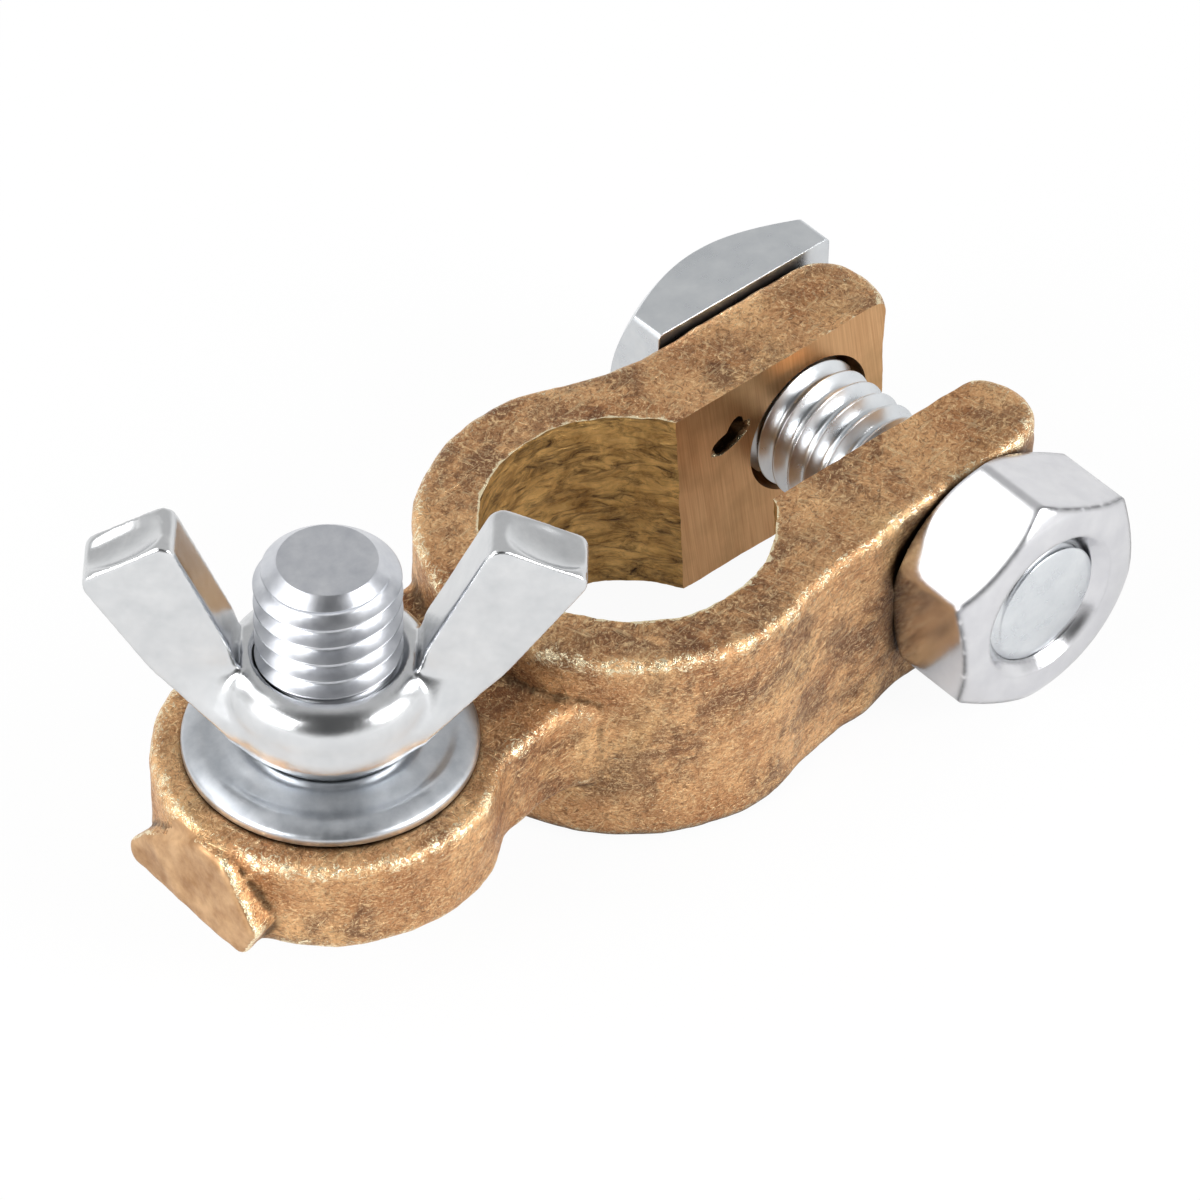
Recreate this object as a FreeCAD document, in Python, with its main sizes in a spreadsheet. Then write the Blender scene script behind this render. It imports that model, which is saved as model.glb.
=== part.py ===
# Clamp for a tapered battery post, with a wing-nut stud for the cable lug.
# Origin: centre of the post bore on the clamp's underside. +Z up the bore,
# +X towards the slot and the clamping bolt, the cable stud towards -X.
# All lengths are in millimetres, all angles in degrees.
import FreeCAD, Part
import math
import os
import Sketcher

Vector = FreeCAD.Vector
Rotation = FreeCAD.Rotation
Placement = FreeCAD.Placement

SIZES = [
    ("ring_height", 13.5, "height of the ring and of both ears"),
    ("ring_dia", 23.3, "outside of the ring"),
    ("bore_top_dia", 16.4, "post bore at the top face"),
    ("bore_base_dia", 18.1, "post bore at the underside"),
    ("slot_width", 8.1, "machined slot between the ears"),
    ("ear_thick", 5.6, "thickness of one ear after the slot is machined"),
    ("ear_reach", 23.7, "bore axis to the ear tips"),
    ("ear_tip_round", 3.0, "round of the cast ear tips, seen from above"),
    ("waist_round", 3.5, "hollow round between the ring and an ear"),
    ("edge_round", 0.9, "round on the cast outer edges"),
    ("stud_reach", 21.6, "bore axis to the cable stud"),
    ("lug_shift", -0.4, "sideways offset of the stud lug, as cast"),
    ("lug_dia", 19.4, "round lug that carries the stud"),
    ("lug_base", 4.4, "underside of the lug above the ring's underside"),
    ("lug_top", 10.5, "seat of the washer"),
    ("neck_width", 13.6, "neck between the ring and the lug"),
    ("neck_round", 2.2, "hollow rounds at both ends of the neck"),
    ("gate_reach", 10.1, "stud axis to the sheared face of the casting gate"),
    ("gate_width", 11.2, "width of the gate stub at its foot"),
    ("gate_length", 2.6, "length of the gate stub, part of it inside the lug"),
    ("gate_draft", 6.0, "draft of the gate stub"),
    ("blow_length", 2.8, "gas hole opened by the slot cutter"),
    ("blow_width", 1.2, "width of the gas hole"),
    ("blow_depth", 1.6, "depth of the gas hole"),
    ("blow_reach", 11.35, "bore axis to the gas hole"),
    ("blow_lift", 9.95, "height of the gas hole"),
    ("blow_tilt", 34.0, "slope of the gas hole"),
    ("stud_dia", 8.0, "M8 cable stud, over the thread"),
    ("stud_top", 24.0, "top of the stud"),
    ("stud_flat_dia", 5.4, "flat end of the stud inside its chamfer"),
    ("stud_end_slope", 42.0, "slope of the stud's end chamfer"),
    ("stud_head_dia", 12.6, "flange of the stud, let into the lug"),
    ("stud_head_thick", 1.8, "thickness of that flange"),
    ("washer_dia", 16.1, "outside of the dished washer"),
    ("washer_hole", 8.6, "hole of the washer"),
    ("washer_thick", 1.1, "metal of the washer"),
    ("washer_rise", 0.5, "dish of the washer"),
    ("washer_seat_dia", 10.4, "flat seat in the middle of the washer"),
    ("washer_rim", 1.1, "width of the washer's flat rim"),
    ("washer_edge", 0.35, "rolled edge of the washer"),
    ("seat_gap", 0.05, "clearance where a moving face seats"),
    ("thread_pitch", 1.25, "pitch of both threads"),
    ("thread_depth", 0.62, "depth of the threads' grooves"),
    ("thread_crest", 0.3, "width of the crest between two grooves"),
    ("thread_play", 0.04, "radial clearance of a nut on its thread"),
    ("hub_dia", 11.7, "hub of the wing nut"),
    ("hub_height", 5.3, "height of the hub"),
    ("hub_foot_dia", 9.9, "foot of the hub on the washer"),
    ("hub_foot_height", 1.5, "where the hub reaches its full width"),
    ("hub_crown", 1.25, "round on the hub's top edge"),
    ("wing_span", 27.0, "tip to tip of the wings"),
    ("wing_rise", 14.4, "top of the wings above the hub's foot"),
    ("wing_tip_width", 5.8, "length of a wing's end face"),
    ("wing_tip_slope", 30.0, "fall of a wing's end face"),
    ("wing_thick", 3.4, "thickness of a wing"),
    ("wing_foot", 0.8, "where a wing's lower edge leaves the hub"),
    ("wing_turn_reach", 8.6, "turn of a wing's lower edge, from the axis"),
    ("wing_turn_height", 3.7, "height of that turn above the hub's foot"),
    ("wing_root", 5.1, "inner edge of a wing above the hub, from the axis"),
    ("wing_root_height", 6.7, "height where that edge starts to lean out"),
    ("wing_round", 0.7, "forged round on the rims of the wings"),
    ("wing_corner", 1.1, "forged round on the wing tips' corners"),
    ("wing_turn", -42.0, "turn of the wing nut about the stud"),
    ("bolt_reach", 17.4, "bore axis to the clamping bolt"),
    ("bolt_height", 7.4, "height of the clamping bolt"),
    ("bolt_hole_dia", 8.9, "clearance hole through the ears"),
    ("screw_dia", 8.0, "M8 clamping bolt, over the thread"),
    ("screw_length", 25.0, "bolt under its head"),
    ("screw_end", 0.7, "end chamfer of the bolt"),
    ("head_width", 13.0, "square head across its flats"),
    ("head_height", 4.3, "height of the square head"),
    ("head_face_dia", 12.4, "round face inside the head's chamfer"),
    ("head_slope", 36.0, "slope of the head's chamfer"),
    ("nut_width", 12.75, "hexagon nut across its flats"),
    ("nut_height", 6.1, "height of the nut"),
    ("nut_face_dia", 12.4, "round face inside the nut's chamfers"),
    ("nut_slope", 34.0, "slope of the nut's chamfers"),
    ("nut_sink", 0.4, "countersink of the nut's thread"),
    ("nut_turn", 4.0, "turn of the nut from a corner straight up"),
]

# Names of the spreadsheet cells, written as they stand in expressions.
RING_RADIUS = "Sizes.ring_dia / 2"
EAR_SIDE = "(Sizes.slot_width / 2 + Sizes.ear_thick)"
CAST_SLOT_SIDE = "(Sizes.slot_width / 2 - Sizes.edge_round)"
NECK_LOW = "Sizes.lug_shift - Sizes.neck_width / 2"
NECK_HIGH = "Sizes.lug_shift + Sizes.neck_width / 2"
WASHER_SEAT = "(Sizes.lug_top + Sizes.seat_gap)"
HUB_SEAT = f"({WASHER_SEAT} + Sizes.washer_rise + Sizes.washer_thick + Sizes.seat_gap)"

# Outline of the sheared gate stub, in shares of its width and of the lug's height.
GATE_OUTLINE = [
    (0.40, 0.0), (0.46, 0.2), (0.32, 0.6), (-0.12, 1.0), (-0.36, 1.0), (-0.54, 0.4), (-0.46, 0.0),
]

# Ragged outline of the gas hole, in shares of half its straight run and of half its width.
GAS_HOLE_OUTLINE = [
    (-1.0, -0.6), (-0.4, -1.0), (1.0, -0.8), (1.3, 0.2), (0.6, 1.0), (-1.0, 0.8), (-1.3, 0.0),
]

# How far a cutting profile runs past the metal it removes.
OVERRUN = 1.0

# Two places closer than this are the same place.
NEAR = 1e-4


def make_sheet(doc):
    """The spreadsheet with every driving size."""
    sheet = doc.addObject("Spreadsheet::Sheet", "Sizes")
    for row, (alias, value, meaning) in enumerate(SIZES, start=1):
        sheet.set(f"A{row}", meaning)
        sheet.set(f"B{row}", str(value))
        sheet.setAlias(f"B{row}", alias)
    doc.recompute()
    return sheet


def new_body(doc, label):
    body = doc.addObject("PartDesign::Body", label)
    body.Label = label
    return body


def new_sketch(body, name, role, lift=None):
    """A sketch on one of the body's own origin planes, lifted off it if asked."""
    planes = [item for item in body.Origin.OriginFeatures if item.Role == role]
    sketch = body.newObject("Sketcher::SketchObject", name)
    sketch.AttachmentSupport = [(planes[0], "")]
    sketch.MapMode = "FlatFace"
    if lift:
        sketch.setExpression("AttachmentOffset.Base.z", lift)
    return sketch


def bind(sketch, constraint, expression):
    index = sketch.addConstraint(constraint)
    sketch.setExpression(f"Constraints[{index}]", expression)


def pin_point(sketch, geometry, point, across, along):
    """Holds one point of a sketch at two expressions from the sketch's origin."""
    for direction, expression in (("DistanceX", across), ("DistanceY", along)):
        value = sketch.evalExpression(expression)
        bind(sketch, Sketcher.Constraint(direction, -1, 1, geometry, point, value), expression)


def draw_outline(sketch, corners, rounds=None):
    """A closed outline through corners given as expressions.

    Its sides are straight, apart from those in rounds, which gives a side's number the
    radius of a quarter circle, counter-clockwise from the side's first corner.
    """
    count = len(corners)
    rounds = rounds or {}
    places = []
    for across, along in corners:
        places.append(Vector(sketch.evalExpression(across), sketch.evalExpression(along), 0))
    for index in range(count):
        start, end = places[index], places[(index + 1) % count]
        if index in rounds:
            sketch.addGeometry(quarter_circle(start, end))
            bind(sketch, Sketcher.Constraint("Radius", index, abs(end.x - start.x)), rounds[index])
        else:
            sketch.addGeometry(Part.LineSegment(start, end))
    for index in range(count):
        sketch.addConstraint(Sketcher.Constraint("Coincident", index, 2, (index + 1) % count, 1))
        pin_point(sketch, index, 1, *corners[index])


def quarter_circle(start, end):
    """The quarter circle that leaves its start upwards and comes to its end level."""
    centre = Vector(end.x, start.y, 0)
    circle = Part.Circle(centre, Vector(0, 0, 1), start.x - end.x)
    return Part.ArcOfCircle(circle, 0, math.pi / 2)


def draw_circle(sketch, across, along, radius):
    centre = Vector(sketch.evalExpression(across), sketch.evalExpression(along), 0)
    size = sketch.evalExpression(radius)
    index = sketch.addGeometry(Part.Circle(centre, Vector(0, 0, 1), size))
    bind(sketch, Sketcher.Constraint("Radius", index, size), radius)
    pin_point(sketch, index, 3, across, along)


def add_pad(body, name, sketch, length, both_ways=False, backwards=False):
    pad = body.newObject("PartDesign::Pad", name)
    pad.Profile = sketch
    pad.setExpression("Length", length)
    pad.Midplane = both_ways
    pad.Reversed = backwards
    body.Document.recompute()
    return pad


def add_pocket(body, name, sketch, depth=None, backwards=False):
    """A pocket of one depth, or right through to both sides if none is given."""
    before = body.Shape.Volume
    pocket = body.newObject("PartDesign::Pocket", name)
    pocket.Profile = sketch
    if depth:
        pocket.setExpression("Length", depth)
        pocket.Reversed = backwards
    else:
        pocket.Type = "ThroughAll"
        pocket.Midplane = True
    body.Document.recompute()
    check_removed(name, before, body)
    return pocket


def add_turned(body, name, sketch, cut=False):
    """A full turn of a profile about the sketch's upright axis, added or cut away."""
    before = body.Shape.Volume if cut else 0.0
    turned = body.newObject("PartDesign::Groove" if cut else "PartDesign::Revolution", name)
    turned.Profile = sketch
    turned.ReferenceAxis = (sketch, ["V_Axis"])
    turned.Angle = 360.0
    body.Document.recompute()
    if cut:
        check_removed(name, before, body)
    return turned


def cut_thread(body, radius, first, run):
    """Cuts V grooves round a rod at the thread's pitch, upwards along a run from the first.

    Rings stand for the thread's one helical groove, whose surface is far heavier.
    """
    half = "(Sizes.thread_pitch - Sizes.thread_crest) / 2"
    spread = f"{half} * (1 + {OVERRUN} / Sizes.thread_depth)"
    groove = new_sketch(body, "GrooveProfile", "XZ_Plane")
    draw_outline(groove, [
        (f"{radius} - Sizes.thread_depth", first),
        (f"{radius} + {OVERRUN}", f"{first} - {spread}"),
        (f"{radius} + {OVERRUN}", f"{first} + {spread}"),
    ])
    ring = add_turned(body, "ThreadGroove", groove, cut=True)
    before = body.Shape.Volume
    thread = body.newObject("PartDesign::LinearPattern", "Thread")
    thread.Originals = [ring]
    thread.Direction = (groove, ["V_Axis"])
    thread.Mode = "Spacing"
    thread.setExpression("Offset", "Sizes.thread_pitch")
    thread.setExpression("Occurrences", f"floor(({run}) / Sizes.thread_pitch) + 1")
    body.Tip = thread
    body.Document.recompute()
    check_removed("Thread", before, body)


def check_removed(name, before, body):
    if body.Shape.Volume > before - NEAR:
        raise RuntimeError(f"{name} removes no metal")


def round_edges(body, name, test, radius):
    """Rounds every edge of the body that passes the test."""
    base = body.Tip
    names = [f"Edge{index}" for index, edge in enumerate(base.Shape.Edges, start=1) if test(edge)]
    fillet = body.newObject("PartDesign::Fillet", name)
    fillet.Base = (base, names)
    fillet.setExpression("Radius", radius)
    body.Document.recompute()
    return fillet


def bevel_edges(body, name, test, size):
    """Bevels every edge of the body that passes the test."""
    base = body.Tip
    names = [f"Edge{index}" for index, edge in enumerate(base.Shape.Edges, start=1) if test(edge)]
    bevel = body.newObject("PartDesign::Chamfer", name)
    bevel.Base = (base, names)
    bevel.setExpression("Size", size)
    body.Document.recompute()
    return bevel


def is_upright(edge):
    box = edge.BoundBox
    return box.XLength < NEAR and box.YLength < NEAR and box.ZLength > NEAR


def is_level_at(edge, height):
    box = edge.BoundBox
    return abs(box.ZMin - height) < NEAR and abs(box.ZMax - height) < NEAR


def is_round_at(edge, radius, height):
    """A circle of the given radius about the body's own upright axis."""
    box = edge.BoundBox
    return is_level_at(edge, height) and abs(box.XMax - radius) < NEAR and abs(box.XMin + radius) < NEAR


def make_clamp_body(doc, size):
    """One brass casting: ring, two ears, neck and stud lug, then bored, slotted and drilled."""
    body = new_body(doc, "clamp_body")

    lug = new_sketch(body, "LugOutline", "XY_Plane", "Sizes.lug_base")
    draw_circle(lug, "-Sizes.stud_reach", "Sizes.lug_shift", "Sizes.lug_dia / 2")
    add_pad(body, "Lug", lug, "Sizes.lug_top - Sizes.lug_base")

    neck = new_sketch(body, "NeckOutline", "XY_Plane", "Sizes.lug_base")
    draw_outline(neck, [
        ("-Sizes.stud_reach", NECK_LOW),
        ("-Sizes.bore_base_dia / 2", NECK_LOW),
        ("-Sizes.bore_base_dia / 2", NECK_HIGH),
        ("-Sizes.stud_reach", NECK_HIGH),
    ])
    add_pad(body, "Neck", neck, "Sizes.lug_top - Sizes.lug_base")
    round_lug(body, size)

    ring = new_sketch(body, "RingOutline", "XY_Plane")
    draw_circle(ring, "0", "0", RING_RADIUS)
    add_pad(body, "Ring", ring, "Sizes.ring_height")

    ears = new_sketch(body, "EarOutline", "XY_Plane")
    draw_outline(ears, [
        ("0", f"-{EAR_SIDE}"),
        ("Sizes.ear_reach", f"-{EAR_SIDE}"),
        ("Sizes.ear_reach", EAR_SIDE),
        ("0", EAR_SIDE),
    ])
    add_pad(body, "Ears", ears, "Sizes.ring_height")

    cast_slot = new_sketch(body, "CastSlotOutline", "XY_Plane")
    draw_slot(cast_slot, CAST_SLOT_SIDE)
    add_pocket(body, "CastSlot", cast_slot)
    round_ring(body, size)
    add_gate_stub(body)

    slot = new_sketch(body, "SlotOutline", "XY_Plane")
    draw_slot(slot, "Sizes.slot_width / 2")
    add_pocket(body, "Slot", slot)

    bore = new_sketch(body, "BoreProfile", "XZ_Plane")
    draw_outline(bore, [
        ("0", f"-{OVERRUN}"),
        ("Sizes.bore_base_dia / 2", f"-{OVERRUN}"),
        ("Sizes.bore_base_dia / 2", "0"),
        ("Sizes.bore_top_dia / 2", "Sizes.ring_height"),
        ("Sizes.bore_top_dia / 2", f"Sizes.ring_height + {OVERRUN}"),
        ("0", f"Sizes.ring_height + {OVERRUN}"),
    ])
    add_turned(body, "PostBore", bore, cut=True)

    bolt_hole = new_sketch(body, "BoltHoleOutline", "XZ_Plane")
    draw_circle(bolt_hole, "Sizes.bolt_reach", "Sizes.bolt_height", "Sizes.bolt_hole_dia / 2")
    add_pocket(body, "BoltHole", bolt_hole)

    stud_hole = new_sketch(body, "StudHoleOutline", "XY_Plane")
    draw_circle(stud_hole, "-Sizes.stud_reach", "Sizes.lug_shift", "Sizes.stud_dia / 2")
    add_pocket(body, "StudHole", stud_hole)

    stud_seat = new_sketch(body, "StudSeatOutline", "XY_Plane", "Sizes.lug_base")
    draw_circle(stud_seat, "-Sizes.stud_reach", "Sizes.lug_shift", "Sizes.stud_head_dia / 2")
    add_pocket(body, "StudSeat", stud_seat, "Sizes.stud_head_thick", backwards=True)

    add_gas_hole(body)
    return body


def draw_slot(sketch, half_width):
    """A slot from the bore axis out past the ear tips."""
    far = f"Sizes.ear_reach + {OVERRUN}"
    draw_outline(sketch, [
        ("0", f"-{half_width}"),
        (far, f"-{half_width}"),
        (far, half_width),
        ("0", half_width),
    ])


def round_lug(body, size):
    """The neck's hollow corners, then the lug's outer edges, as cast."""
    def is_neck_corner(edge):
        inside = -size["stud_reach"] < edge.BoundBox.XMin < -size["ring_dia"] / 2 + NEAR
        return is_upright(edge) and inside

    def is_outer_edge(edge):
        return is_level_at(edge, size["lug_top"]) or is_level_at(edge, size["lug_base"])

    round_edges(body, "NeckRound", is_neck_corner, "Sizes.neck_round")
    round_edges(body, "LugEdgeRound", is_outer_edge, "Sizes.edge_round")


def round_ring(body, size):
    """The hollows between ring and ears, the ear tips, then the outer edges, as cast."""
    ear_side = size["slot_width"] / 2 + size["ear_thick"]
    ring_radius = size["ring_dia"] / 2

    def is_waist(edge):
        box = edge.BoundBox
        return is_upright(edge) and 0 < box.XMin < ring_radius and abs(abs(box.YMin) - ear_side) < NEAR

    def is_ear_tip(edge):
        return is_upright(edge) and abs(edge.BoundBox.XMin - size["ear_reach"]) < NEAR

    def is_ring_edge(edge):
        return is_level_at(edge, size["ring_height"]) or is_level_at(edge, 0.0)

    round_edges(body, "WaistRound", is_waist, "Sizes.waist_round")
    round_edges(body, "EarTipRound", is_ear_tip, "Sizes.ear_tip_round")
    round_edges(body, "RingEdgeRound", is_ring_edge, "Sizes.edge_round")


def add_gate_stub(body):
    """The sheared stub of the casting gate, which narrows out from the end of the lug."""
    foot_place = "-(Sizes.stud_reach + Sizes.gate_reach - Sizes.gate_length)"
    stub = new_sketch(body, "GateOutline", "YZ_Plane", foot_place)
    corners = []
    for across, up in GATE_OUTLINE:
        height = f"Sizes.lug_base + {up} * (Sizes.lug_top - Sizes.lug_base)"
        corners.append((f"{across} * Sizes.gate_width", height))
    draw_outline(stub, corners)
    pad = add_pad(body, "GateStub", stub, "Sizes.gate_length", backwards=True)
    pad.setExpression("TaperAngle", "-Sizes.gate_draft")
    body.Document.recompute()


def add_gas_hole(body):
    """A slanting gas hole in the far machined face of the slot."""
    hole = new_sketch(body, "GasHoleOutline", "XZ_Plane", "-Sizes.slot_width / 2")
    half = "(Sizes.blow_length - Sizes.blow_width) / 2"
    side = "Sizes.blow_width / 2"
    corners = []
    for along, across in GAS_HOLE_OUTLINE:
        run = f"({along} * {half})"
        step = f"({across} * {side})"
        corners.append((
            f"Sizes.blow_reach + {run} * cos(Sizes.blow_tilt) - {step} * sin(Sizes.blow_tilt)",
            f"Sizes.blow_lift + {run} * sin(Sizes.blow_tilt) + {step} * cos(Sizes.blow_tilt)",
        ))
    draw_outline(hole, corners)
    add_pocket(body, "GasHole", hole, "Sizes.blow_depth")


def make_terminal_stud(doc):
    """Steel stud pressed up through the lug, its flange let into the underside."""
    body = new_body(doc, "terminal_stud")
    profile = new_sketch(body, "StudProfile", "XZ_Plane")
    chamfer = "(Sizes.stud_dia - Sizes.stud_flat_dia) / 2 * tan(Sizes.stud_end_slope)"
    draw_outline(profile, [
        ("0", "Sizes.lug_base"),
        ("Sizes.stud_head_dia / 2", "Sizes.lug_base"),
        ("Sizes.stud_head_dia / 2", "Sizes.lug_base + Sizes.stud_head_thick"),
        ("Sizes.stud_dia / 2", "Sizes.lug_base + Sizes.stud_head_thick"),
        ("Sizes.stud_dia / 2", f"Sizes.stud_top - {chamfer}"),
        ("Sizes.stud_flat_dia / 2", "Sizes.stud_top"),
        ("0", "Sizes.stud_top"),
    ])
    add_turned(body, "Stud", profile)
    first = "Sizes.lug_top + Sizes.thread_pitch"
    run = f"Sizes.stud_top - {chamfer} - Sizes.thread_crest - ({first}) - Sizes.thread_pitch / 2"
    cut_thread(body, "Sizes.stud_dia / 2", first, run)
    place_on_stud(body, "0")
    return body


def place_on_stud(body, height):
    body.setExpression("Placement.Base.x", "-Sizes.stud_reach")
    body.setExpression("Placement.Base.y", "Sizes.lug_shift")
    body.setExpression("Placement.Base.z", height)


def make_washer(doc, size):
    """Dished washer: flat seat in the middle, a shallow cone, a flat rim."""
    body = new_body(doc, "washer")
    profile = new_sketch(body, "WasherProfile", "XZ_Plane")
    hole = "Sizes.washer_hole / 2"
    seat = "Sizes.washer_seat_dia / 2"
    rim = "Sizes.washer_dia / 2 - Sizes.washer_rim"
    edge = "Sizes.washer_dia / 2"
    draw_outline(profile, [
        (hole, "Sizes.washer_rise"),
        (seat, "Sizes.washer_rise"),
        (rim, "0"),
        (edge, "0"),
        (edge, "Sizes.washer_thick"),
        (rim, "Sizes.washer_thick"),
        (seat, "Sizes.washer_rise + Sizes.washer_thick"),
        (hole, "Sizes.washer_rise + Sizes.washer_thick"),
    ])
    add_turned(body, "Washer", profile)
    radius = size["washer_dia"] / 2

    def is_rim(edge):
        return is_round_at(edge, radius, 0.0) or is_round_at(edge, radius, size["washer_thick"])

    round_edges(body, "WasherEdge", is_rim, "Sizes.washer_edge")
    place_on_stud(body, WASHER_SEAT)
    return body


def make_wing_nut(doc, size):
    """Forged wing nut: two flat wings that rise and lean out from a domed hub."""
    body = new_body(doc, "wing_nut")
    wings = new_sketch(body, "WingOutline", "XZ_Plane")
    tip_run = "Sizes.wing_tip_width * cos(Sizes.wing_tip_slope)"
    tip_fall = "Sizes.wing_tip_width * sin(Sizes.wing_tip_slope)"
    half_span = "Sizes.wing_span / 2"
    crown_start = "Sizes.hub_height - Sizes.hub_crown"
    inside_hub = "Sizes.hub_dia / 2 - Sizes.hub_crown"
    right = [
        (inside_hub, "Sizes.wing_foot"),
        ("Sizes.wing_turn_reach", "Sizes.wing_turn_height"),
        (half_span, f"Sizes.wing_rise - {tip_fall}"),
        (f"{half_span} - {tip_run}", "Sizes.wing_rise"),
        ("Sizes.wing_root", "Sizes.wing_root_height"),
        (inside_hub, crown_start),
    ]
    left = [(f"-({across})", along) for across, along in reversed(right)]
    draw_outline(wings, right + left)
    add_pad(body, "Wings", wings, "Sizes.wing_thick", both_ways=True)
    round_wings(body, size)

    hub = new_sketch(body, "HubProfile", "XZ_Plane")
    draw_outline(hub, [
        ("0", "0"),
        ("Sizes.hub_foot_dia / 2", "0"),
        ("Sizes.hub_dia / 2", "Sizes.hub_foot_height"),
        ("Sizes.hub_dia / 2", crown_start),
        (inside_hub, "Sizes.hub_height"),
        ("0", "Sizes.hub_height"),
    ], rounds={3: "Sizes.hub_crown"})
    add_turned(body, "Hub", hub)

    bore = new_sketch(body, "HubBoreOutline", "XY_Plane")
    draw_circle(bore, "0", "0", "Sizes.stud_dia / 2 + Sizes.thread_play")
    add_pocket(body, "HubBore", bore)
    place_on_stud(body, HUB_SEAT)
    body.setExpression("Placement.Rotation.Angle", "Sizes.wing_turn")
    return body


def round_wings(body, size):
    """Rounds the wing tips' corners first, then the rims of both faces."""
    half_thick = size["wing_thick"] / 2

    def is_tip_corner(edge):
        box = edge.BoundBox
        across = box.YLength > size["wing_thick"] - NEAR and box.XLength < NEAR
        return across and abs(box.XMin) > size["wing_root"] + NEAR

    def is_rim(edge):
        box = edge.BoundBox
        return abs(abs(box.YMin) - half_thick) < NEAR and box.YLength < NEAR

    round_edges(body, "WingCornerRound", is_tip_corner, "Sizes.wing_corner")
    round_edges(body, "WingRimRound", is_rim, "Sizes.wing_round")


def draw_chamfer_cut(sketch, face_radius, face_height, slope, reach, downwards=False):
    """The metal outside a cone that starts at a round face."""
    sign = "+" if downwards else "-"
    beyond = "-" if downwards else "+"
    draw_outline(sketch, [
        (face_radius, face_height),
        (reach, f"{face_height} {sign} ({reach} - {face_radius}) * tan({slope})"),
        (reach, f"{face_height} {beyond} {OVERRUN}"),
        (face_radius, f"{face_height} {beyond} {OVERRUN}"),
    ])


def make_clamp_bolt(doc, size):
    """Square-head bolt through both ears, its head against the far ear."""
    body = new_body(doc, "clamp_bolt")
    half = "Sizes.head_width / 2"
    head = new_sketch(body, "HeadOutline", "XY_Plane")
    draw_outline(head, [(f"-{half}", f"-{half}"), (half, f"-{half}"), (half, half), (f"-{half}", half)])
    add_pad(body, "Head", head, "Sizes.head_height")

    chamfer = new_sketch(body, "HeadChamferProfile", "XZ_Plane")
    draw_chamfer_cut(chamfer, "Sizes.head_face_dia / 2", "Sizes.head_height", "Sizes.head_slope",
                     "Sizes.head_width")
    add_turned(body, "HeadChamfer", chamfer, cut=True)

    shank = new_sketch(body, "ShankOutline", "XY_Plane")
    draw_circle(shank, "0", "0", "Sizes.screw_dia / 2")
    add_pad(body, "Shank", shank, "Sizes.screw_length", backwards=True)

    def is_end(edge):
        return is_round_at(edge, size["screw_dia"] / 2, -size["screw_length"])

    bevel_edges(body, "EndChamfer", is_end, "Sizes.screw_end")
    first = "Sizes.screw_end + Sizes.thread_pitch - Sizes.screw_length"
    cut_thread(body, "Sizes.screw_dia / 2", first, f"-2 * Sizes.thread_pitch - ({first})")
    place_on_bolt_line(body, f"{EAR_SIDE} + Sizes.seat_gap", -90)
    return body


def place_on_bolt_line(body, across, turn):
    """Lays a piece that was drawn upright onto the bolt's line."""
    body.Placement = Placement(Vector(), Rotation(Vector(1, 0, 0), turn))
    body.setExpression("Placement.Base.x", "Sizes.bolt_reach")
    body.setExpression("Placement.Base.y", across)
    body.setExpression("Placement.Base.z", "Sizes.bolt_height")


def make_hex_nut(doc, size):
    """Hexagon nut, chamfered on both faces, against the near ear."""
    body = new_body(doc, "hex_nut")
    corner = "Sizes.nut_width / 2 / cos(30)"
    outline = new_sketch(body, "NutOutline", "XY_Plane")
    corners = []
    for step in range(6):
        angle = f"({30 + 60 * step} + Sizes.nut_turn)"
        corners.append((f"{corner} * cos({angle})", f"{corner} * sin({angle})"))
    draw_outline(outline, corners)
    add_pad(body, "Hexagon", outline, "Sizes.nut_height")

    for name, height, downwards in (("Outer", "Sizes.nut_height", False), ("Inner", "0", True)):
        chamfer = new_sketch(body, f"{name}ChamferProfile", "XZ_Plane")
        draw_chamfer_cut(chamfer, "Sizes.nut_face_dia / 2", height, "Sizes.nut_slope",
                         "Sizes.nut_width", downwards)
        add_turned(body, f"{name}Chamfer", chamfer, cut=True)

    bore = new_sketch(body, "NutBoreOutline", "XY_Plane")
    draw_circle(bore, "0", "0", "Sizes.screw_dia / 2 + Sizes.thread_play")
    add_pocket(body, "NutBore", bore)
    radius = size["screw_dia"] / 2 + size["thread_play"]

    def is_mouth(edge):
        return is_round_at(edge, radius, 0.0) or is_round_at(edge, radius, size["nut_height"])

    bevel_edges(body, "NutSink", is_mouth, "Sizes.nut_sink")
    place_on_bolt_line(body, f"-({EAR_SIDE} + Sizes.seat_gap)", 90)
    return body


def check_document(doc, bodies):
    for item in doc.Objects:
        if "Invalid" in item.State or "Error" in item.State:
            raise RuntimeError(f"{item.Label} failed: {item.State}")
    for body in bodies:
        if body.Shape.isNull() or not body.Shape.isValid() or len(body.Shape.Solids) != 1:
            raise RuntimeError(f"{body.Label} is not one valid solid")


def main():
    doc = FreeCAD.newDocument("BatteryClamp")
    make_sheet(doc)
    size = {alias: value for alias, value, meaning in SIZES}
    bodies = [
        make_clamp_body(doc, size),
        make_terminal_stud(doc),
        make_washer(doc, size),
        make_wing_nut(doc, size),
        make_clamp_bolt(doc, size),
        make_hex_nut(doc, size),
    ]
    doc.recompute()
    check_document(doc, bodies)
    os.makedirs("parts", exist_ok=True)
    for body in bodies:
        body.Shape.exportStep(f"parts/{body.Label}.step")
        print(body.Label, round(body.Shape.Volume, 1), "mm3")


main()
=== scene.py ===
# Clamp for a tapered battery post, with a wing-nut stud for the cable lug.
# The frame is in metres: origin at the post bore's centre on the underside, +Z up the bore,
# +X towards the clamping bolt, the cable stud towards -X. Sizes below are in millimetres.
import bmesh
import bpy
import math
from mathutils import Matrix, Vector, noise


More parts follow.
